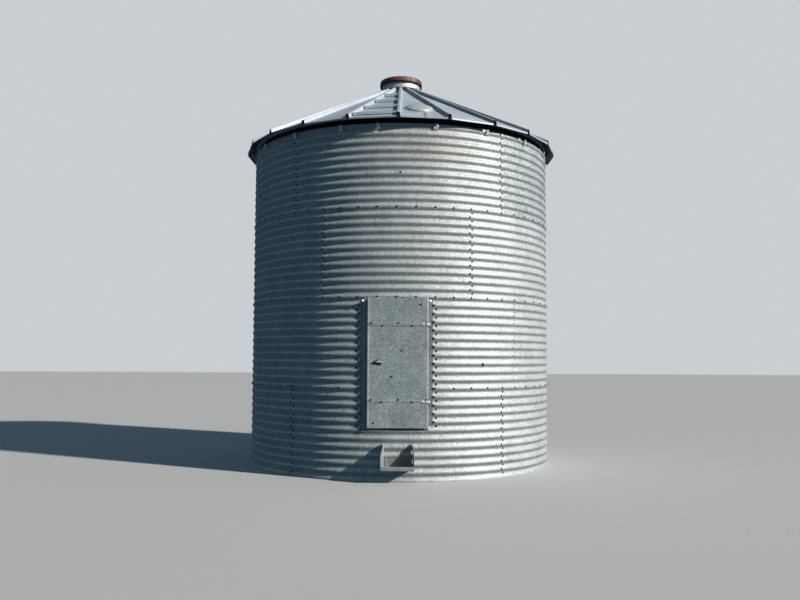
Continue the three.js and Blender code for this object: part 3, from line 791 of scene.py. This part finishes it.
class GRAINBIN_OT_door_frame(bpy.types.Operator):
    """Bends the door frame's jambs, head and sill, which lie back in the corrugated wall, and sets
    its hinge lugs, its upper corners' bright tabs and its bolts"""
    bl_idname = "grain_bin.door_frame"
    bl_label = "Door frame"

    def execute(self, context):
        back, face, recess, lip, gauge = -2.071, -2.094, -2.0955, -2.1135, 0.0015
        path = np.array([0.632, 0.9, 1.4, 1.9, 2.233])[:, None] * Z
        left_jamb = [(-0.486, -2.069), (-0.438, face), (-0.354, face), (-0.354, lip),
                     (-0.351, lip), (-0.351, back)]
        right_jamb = [(0.4045, -2.0910), (0.352, -2.0935), (0.309, face), (0.309, lip),
                      (0.306, lip), (0.306, back)]
        parts = [folded(rounded(jamb, 0.002), path, X, Y, gauge)
                 for jamb in (left_jamb, right_jamb)]
        sill = [(face, 0.599), (-2.0985, 0.601), (-2.0985, 0.629), (recess, 0.632),
                (recess, 0.687), (lip, 0.687), (lip, 0.690), (back, 0.690)]
        head = [(back, 2.190), (lip, 2.190), (lip, 2.194), (recess, 2.194), (recess, 2.2325)]
        for profile, left, right in ((sill, -0.462, 0.342), (head, -0.438, 0.352)):
            parts.append(folded_along_x(rounded(profile, 0.002), left, right, 12, gauge))
        lug = rounded([(HINGE_X - 0.002, -2.1205), (0.382, -2.1205), (0.389, -2.079)], 0.004)
        for hinge in HINGE_HEIGHTS:
            for side in (-1, 1):
                barrel = hinge_pin(hinge + side * 0.0225, 0.0072)
                parts += [tube(barrel, 0.0095, 16), folded(lug, barrel * Z, X, Y, 0.003)]
        add_piece("door_frame_bent", parts, "frame", "bin", "frame_steel", "door_frame")
        turn, rise = math.radians(42), math.radians(20)
        across = X * math.cos(turn) + Y * math.sin(turn)
        out = (X * math.sin(turn) - Y * math.cos(turn)) * math.cos(rise) + Z * math.sin(rise)
        up = np.cross(out, across)
        tabs = [plate(rectangle(width, 0.022, 0.003), (x, -2.114, 2.195), across, up, 0.002)
                for x, width in ((-0.443, 0.056), (0.374, 0.036))]
        add_piece("door_frame_tabs", tabs, "plated", "bin", "frame_steel")
        crests = np.arange(7, 22) * PITCH + CREST_RISE
        valleys = crests - PITCH / 2
        rows = (0.420, crests), (0.449, valleys), (-0.503, crests), (-0.532, valleys)
        bolts = [bolts_on_wall(azimuth_at(x), heights) for x, heights in rows]
        add_piece("door_frame_bolts", bolts, "bolt", "bin", "frame_steel")
        return {"FINISHED"}


class GRAINBIN_OT_door_leaf(bpy.types.Operator):
    """Folds the door leaf, rivets its two stiffening bands and sets its bolts"""
    bl_idname = "grain_bin.door_leaf"
    bl_label = "Door leaf"

    def execute(self, context):
        left, right, foot, head = LEAF_LEFT, LEAF_RIGHT, LEAF_FOOT, LEAF_HEAD
        flange, step, roll = 0.0185, 0.0012, 0.012
        depth = np.array([flange, 0.009, 0.002, 0.0005, 0.0])
        turn = np.linspace(0, math.pi / 2, 6)
        u = np.concatenate([np.full(3, left), left + np.array([0.0005, 0.002, 0.014, 0.016]),
                            np.linspace(left + 0.03, right - 0.03, 24),
                            right - roll + roll * np.sin(turn), [right]])
        du = np.concatenate([depth, [0.0, step], np.full(24, step),
                             step + roll * (1 - np.cos(turn)), [flange]])
        v = np.concatenate([np.full(3, foot), [foot + 0.0005, foot + 0.002],
                            np.linspace(foot + 0.03, head - 0.03, 40),
                            [head - 0.002, head - 0.0005], np.full(3, head)])
        dv = np.concatenate([depth, np.zeros(40), depth[::-1]])
        u, du = u[:, None], du[:, None]
        back = np.maximum(du, dv)
        bulge = 0.0012 * np.sin(5.0 * u + 1.0) * np.sin(3.7 * v) * (back < step + 0.0001)
        grid = np.stack(np.broadcast_arrays(u, LEAF_FRONT + back + bulge, v), -1)
        parts, edges = [sheet(grid, -0.0015)], []
        span = left + 0.006, right - 0.010, 8
        for z0, z1 in ((1.883, 1.926), (0.959, 0.987)):
            front = LEAF_FRONT - 0.0045
            band = rounded([(LEAF_FRONT + 0.002, z1 + 0.003), (front, z1 - 0.007),
                            (front, z0 + 0.001), (LEAF_FRONT + 0.002, z0)], 0.0015)
            edge = np.array([(LEAF_FRONT + 0.001, z1 + 0.0035),
                             (front - 0.0005, z1 - 0.0065)])
            parts.append(folded_along_x(band, *span, 0.0012))
            edges.append(folded_along_x(edge, *span, 0.0008))
        add_piece("band_edges", edges, "boot", "door", "door_sheet")
        add_piece("folded_door_leaf", parts, "door", "door", "door_sheet", "door_leaf")
        on_bands = [(-0.348, 1.918), (-0.016, 1.919), (0.324, 1.921), (-0.213, 1.888),
                    (0.151, 1.890), (-0.352, 0.987), (-0.017, 0.989), (0.327, 0.991),
                    (-0.216, 0.964), (0.152, 0.962)]
        on_leaf = [(0.255, 2.148), (0.028, 1.586), (-0.095, 1.271), (-0.314, 0.710)]
        fronts = LEAF_FRONT - np.repeat([0.0055, 0.0010], [len(on_bands), len(on_leaf)])
        bolts = facing_bolts(on_bands + on_leaf, fronts, 0.0115, 0.0092, 0.0060)
        add_piece("door_leaf_bolts", [bolts], "bolt", "door", "door_sheet")
        return {"FINISHED"}


class GRAINBIN_OT_hinges(bpy.types.Operator):
    """Shapes the two hinge straps with their barrels"""
    bl_idname = "grain_bin.hinges"
    bl_label = "Hinge straps"

    def execute(self, context):
        strap = rounded([(-0.090, 0.0), (-0.010, 0.0), (0.004, 0.0), (0.012, 0.0045)], 0.004)
        for name, z in zip(("hinge_strap_lower", "hinge_strap_upper"), HINGE_HEIGHTS):
            path = (LEAF_RIGHT, LEAF_FRONT - 0.0065, z) + np.outer([-0.0142, 0.0, 0.0142], Z)
            parts = [folded(strap, path, X, Y, 0.0035),
                     tube(hinge_pin(z, 0.0145), 0.0095, 16), tube(hinge_pin(z, 0.0305), 0.004),
                     facing_bolts([(0.285, z), (0.325, z + 0.004)], LEAF_FRONT - 0.0070)]
            add_piece(f"forged_{name}", parts, "plated", "door", "frame_steel", name)
        return {"FINISHED"}


class GRAINBIN_OT_latch(bpy.types.Operator):
    """Shapes the hasp and the dark handle"""
    bl_idname = "grain_bin.latch"
    bl_label = "Door latch"

    def execute(self, context):
        front = LEAF_FRONT - 0.0003
        hasp = plate(rectangle(0.206, 0.014, 0.004), (-0.288, front, 1.447), X, Z, 0.0035)
        add_piece("latch_hasp", [hasp], "bright", "door", "latch_iron", "door_latch")
        stroke = [(-0.262, -0.007, 1.474), (-0.292, -0.008, 1.458), (-0.322, -0.009, 1.444)]
        bar = [(-0.324, -0.008, 1.441), (-0.288, -0.008, 1.432), (-0.222, -0.008, 1.422)]
        parts = [tube(rounded(path, 0.01) + Y * front, radius)
                 for path, radius in ((stroke, 0.0065), (bar, 0.0105))]
        add_piece("latch_handle", parts, "iron", "door", "latch_iron")
        return {"FINISHED"}


class GRAINBIN_OT_boot(bpy.types.Operator):
    """Bends the unloading boot's cheeks, bottom and lip, and its gate"""
    bl_idname = "grain_bin.boot"
    bl_label = "Unloading boot"

    def execute(self, context):
        root, front, foot = BOOT_ROOT, BOOT_FRONT, BOOT_FOOT
        cheek = np.array([(0.0, foot), (1.0, foot), (1.0, 0.330), (0.16, 0.471), (0.0, 0.471)])
        parts = []
        for x_root, x_front in ((-0.183, -0.224), (0.162, 0.176)):
            along = X * (x_front - x_root) + Y * (front - root)
            half_sheet = 0.0015 * np.cross(Z, along) / np.linalg.norm(along)
            flat = X * x_root + Y * root + cheek[:, :1] * along + cheek[:, 1:] * Z
            parts.append(loft(np.stack([flat - half_sheet, flat + half_sheet])))
        corners = np.array([(-0.181, root), (-0.222, front), (0.174, front), (0.160, root)])
        parts.append(plate(corners, Z * foot, X, Y, 0.002))
        lip = rounded([(front + 0.004, foot), (front, foot + 0.002), (front, 0.206),
                       (front + 0.006, 0.209)], 0.002)
        parts.append(folded_along_x(lip, -0.221, 0.173, 5, 0.002))
        add_piece("boot_bent", parts, "boot", "bin", "frame_steel", "boot_frame")
        slide = plate(rectangle(0.330, 0.145, 0.004), (-0.0105, -2.150, 0.2475), X, Z, 0.003)
        edge = rounded([(-2.153, 0.300), (-2.157, 0.304), (-2.157, 0.318), (-2.150, 0.319)], 0.002)
        edge = folded_along_x(edge, -0.175, 0.154, 3, 0.002)
        add_piece("boot_slide", [slide, edge], "boot", "bin", "frame_steel", "boot_gate")
        return {"FINISHED"}


class GRAINBIN_OT_floor(bpy.types.Operator):
    """Gives the bin's floor its dusty finish"""
    bl_idname = "grain_bin.floor"
    bl_label = "Bin floor"

    def execute(self, context):
        materials = NODES["bin_floor"].data.materials
        materials.clear()
        materials.append(finish("floor"))
        return {"FINISHED"}


class GRAINBIN_OT_stage(bpy.types.Operator):
    """Lays the plain floor, sets the camera at the photograph's place and the lights"""
    bl_idname = "grain_bin.stage"
    bl_label = "Stage, camera and lights"

    def execute(self, context):
        scene = context.scene
        self.add_floor(scene.grain_bin_stage)
        self.add_camera(scene)
        self.add_key(scene.grain_bin_stage)
        self.add_surroundings(scene)
        scene.view_settings.view_transform = "Standard"
        return {"FINISHED"}

    def add_floor(self, lights):
        """A plain floor that gives no light back to the bin."""
        half = 60.0
        mesh = bpy.data.meshes.new("plain_floor")
        mesh.from_pydata([(-half, -half, 0), (half, -half, 0), (half, half, 0), (-half, half, 0)],
                         [], [(0, 1, 2, 3)])
        material, add = empty_material("plain pale floor")
        surface = add("BsdfPrincipled", {"Base Color": (*lights.floor, 1.0), "Roughness": 0.9})
        add("OutputMaterial", {"Surface": surface})
        mesh.materials.append(material)
        floor = add_object("plain_floor", mesh)
        floor.visible_diffuse = floor.visible_glossy = False

    def add_camera(self, scene):
        """The camera that was fitted to the wall's corrugations and seams: its focal length in
        picture widths, its place, and how far it looks up and leans."""
        focal, place = 811.8 / 800, (0.0, -12.034, 1.520)
        upward, lean = math.radians(3.943), math.radians(0.286)
        data = bpy.data.cameras.new("camera")
        data.sensor_width = 36.0
        data.lens = focal * data.sensor_width
        data.clip_end = 300
        turn = Euler((math.pi / 2 + upward, 0, 0)).to_matrix() @ Matrix.Rotation(lean, 3, "Z")
        scene.camera = add_object("camera", data)
        scene.camera.matrix_world = Matrix.Translation(place) @ turn.to_4x4()

    def add_key(self, lights):
        """A distant key light from azimuth 62 degrees and 25.5 degrees above the horizon."""
        data = bpy.data.lights.new("key", "SUN")
        data.energy = lights.sun
        data.angle = lights.spread
        data.color = colour("#fffaf2")[:3]
        elevation = math.radians(25.5)
        out = Vector(polar(62, math.cos(elevation), math.sin(elevation)))
        add_object("key", data).rotation_euler = out.to_track_quat("Z", "Y").to_euler()

    def add_surroundings(self, scene):
        """Plain surroundings: a weak cool fill for the bin, seen as a pale backdrop."""
        scene.world = world = bpy.data.worlds.new("plain surroundings")
        world.use_nodes = True
        world.node_tree.nodes.clear()
        add = partial(node, world.node_tree)
        strength = scene.grain_bin_stage.fill
        fill = add("Background", {"Color": "#aedbfd", "Strength": strength})
        backdrop = add("Background", {"Color": "#c9ced2", "Strength": 1.0})
        seen = add("LightPath").outputs["Is Camera Ray"]
        mixed = add("MixShader", {"Fac": seen, 1: fill, 2: backdrop})
        add("OutputWorld", {"Surface": mixed})


class GRAINBIN_PT_panel(bpy.types.Panel):
    """Lists the sizes, the lights and the pieces of the grain bin"""
    bl_idname = "GRAINBIN_PT_panel"
    bl_label = "Grain Bin"
    bl_space_type = "VIEW_3D"
    bl_region_type = "UI"
    bl_category = "Grain Bin"

    def draw(self, context):
        for name, group in SETTINGS.items():
            for key in group.__annotations__:
                self.layout.prop(getattr(context.scene, name), key)
        for step in STEPS:
            self.layout.operator(step.bl_idname)


STEPS = (GRAINBIN_OT_stage, GRAINBIN_OT_wall, GRAINBIN_OT_wall_bolts, GRAINBIN_OT_roof,
         GRAINBIN_OT_eave, GRAINBIN_OT_collar, GRAINBIN_OT_roof_steps, GRAINBIN_OT_vent_hood,
         GRAINBIN_OT_door_frame, GRAINBIN_OT_door_leaf, GRAINBIN_OT_hinges, GRAINBIN_OT_latch,
         GRAINBIN_OT_boot, GRAINBIN_OT_floor)
SETTINGS = {"grain_bin_wall": WallSizes, "grain_bin_roof": RoofSizes,
            "grain_bin_stage": StageLights}
CLASSES = (*SETTINGS.values(), *STEPS, GRAINBIN_PT_panel)


def register():
    for cls in CLASSES:
        bpy.utils.register_class(cls)
    for name, group in SETTINGS.items():
        setattr(bpy.types.Scene, name, PointerProperty(type=group))


def unregister():
    for name in SETTINGS:
        delattr(bpy.types.Scene, name)
    for cls in reversed(CLASSES):
        bpy.utils.unregister_class(cls)


def main():
    register()
    for step in STEPS:
        area, name = step.bl_idname.split(".")
        getattr(getattr(bpy.ops, area), name)()


if __name__ == "__main__":
    main()
